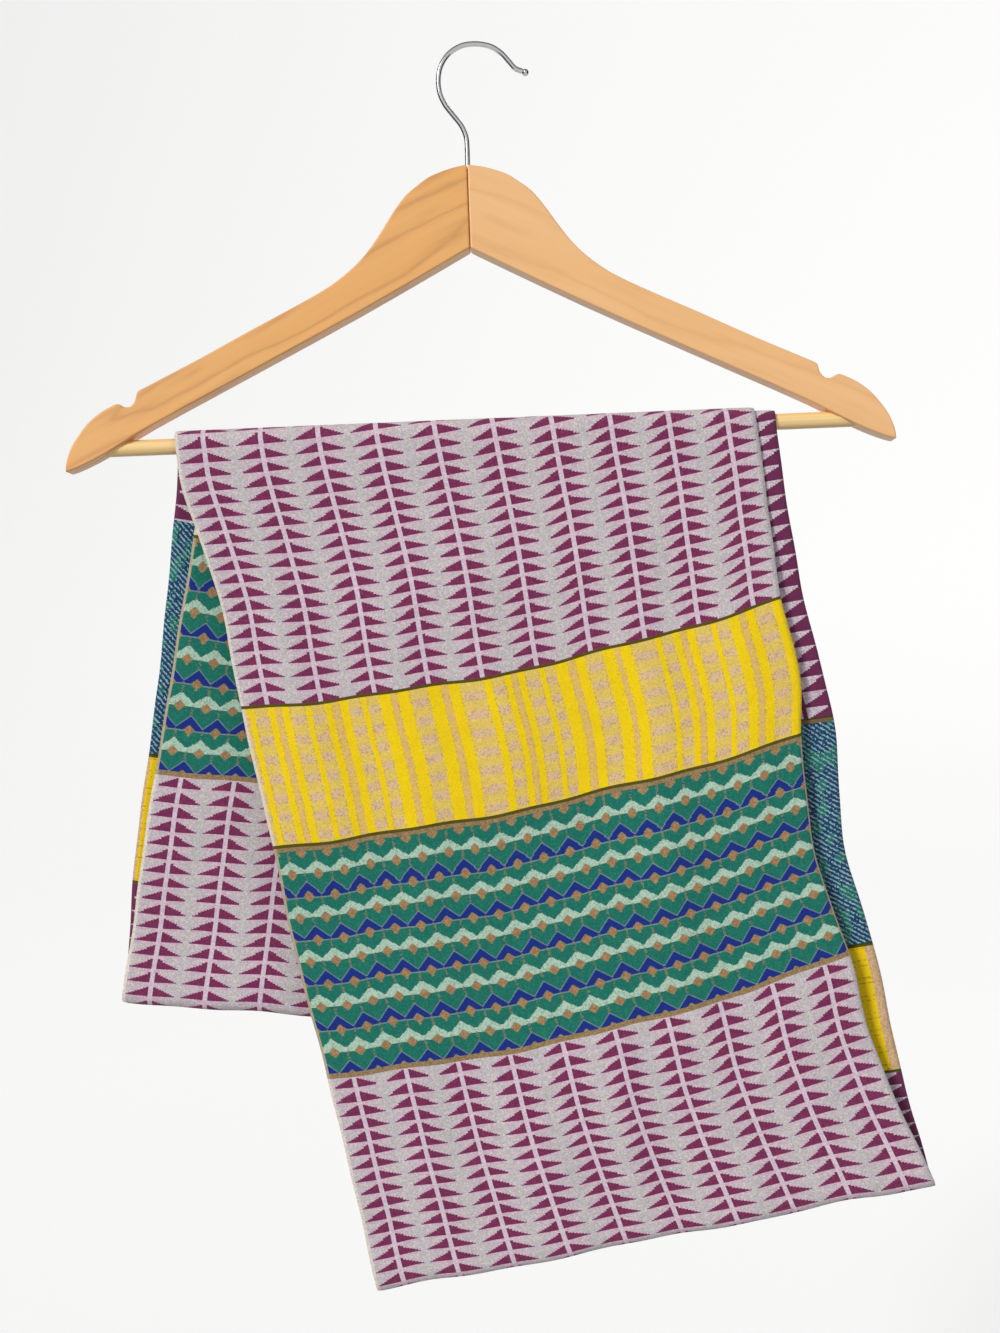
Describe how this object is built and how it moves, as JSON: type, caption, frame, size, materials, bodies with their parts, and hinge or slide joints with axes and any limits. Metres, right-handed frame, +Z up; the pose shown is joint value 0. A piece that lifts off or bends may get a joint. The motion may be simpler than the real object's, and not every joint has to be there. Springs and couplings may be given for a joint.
{
  "type": "infinity scarf on a wooden clothes hanger",
  "caption": "Jacquard knitted infinity scarf with triangle, stripe and zigzag bands, hung flat over the bar of a wooden clothes hanger with a wire hook.",
  "frame": {"origin": "seat of the hook: the inner top of its bend, where a rail or peg carries it", "axes": "+Z up, +X to the right as seen from the front, the front faces -Y"},
  "size_m": [0.4488, 0.0355, 0.6662],
  "materials": {
    "knit_triangles": "matte jacquard knit, purple stepped triangles on pale lilac and grey",
    "knit_stripes": "matte jacquard knit, yellow and tan stripes along the scarf",
    "knit_zigzag": "matte jacquard knit, teal, blue, mint and brown zigzags",
    "hanger_wood": "satin lacquer",
    "bar_wood": "satin",
    "hook_chrome": "polished"
  },
  "bodies": {
    "root": {"band_01_triangles_over_bar": "knit_triangles", "band_02_stripes_front_outer": "knit_stripes", "band_03_zigzag_front_outer": "knit_zigzag", "band_04_triangles_front_fold": "knit_triangles", "band_05_stripes_front_inner": "knit_stripes", "band_06_zigzag_front_inner": "knit_zigzag", "band_07_triangles_inner_bar": "knit_triangles", "band_08_stripes_back_inner": "knit_stripes", "band_09_zigzag_back_inner": "knit_zigzag", "band_10_triangles_back_fold": "knit_triangles", "band_11_stripes_back_outer": "knit_stripes", "band_12_zigzag_back_outer": "knit_zigzag", "hanger_arm_left": "hanger_wood", "hanger_arm_right": "hanger_wood", "trouser_bar": "bar_wood", "hook": "hook_chrome"}
  },
  "joints": []
}
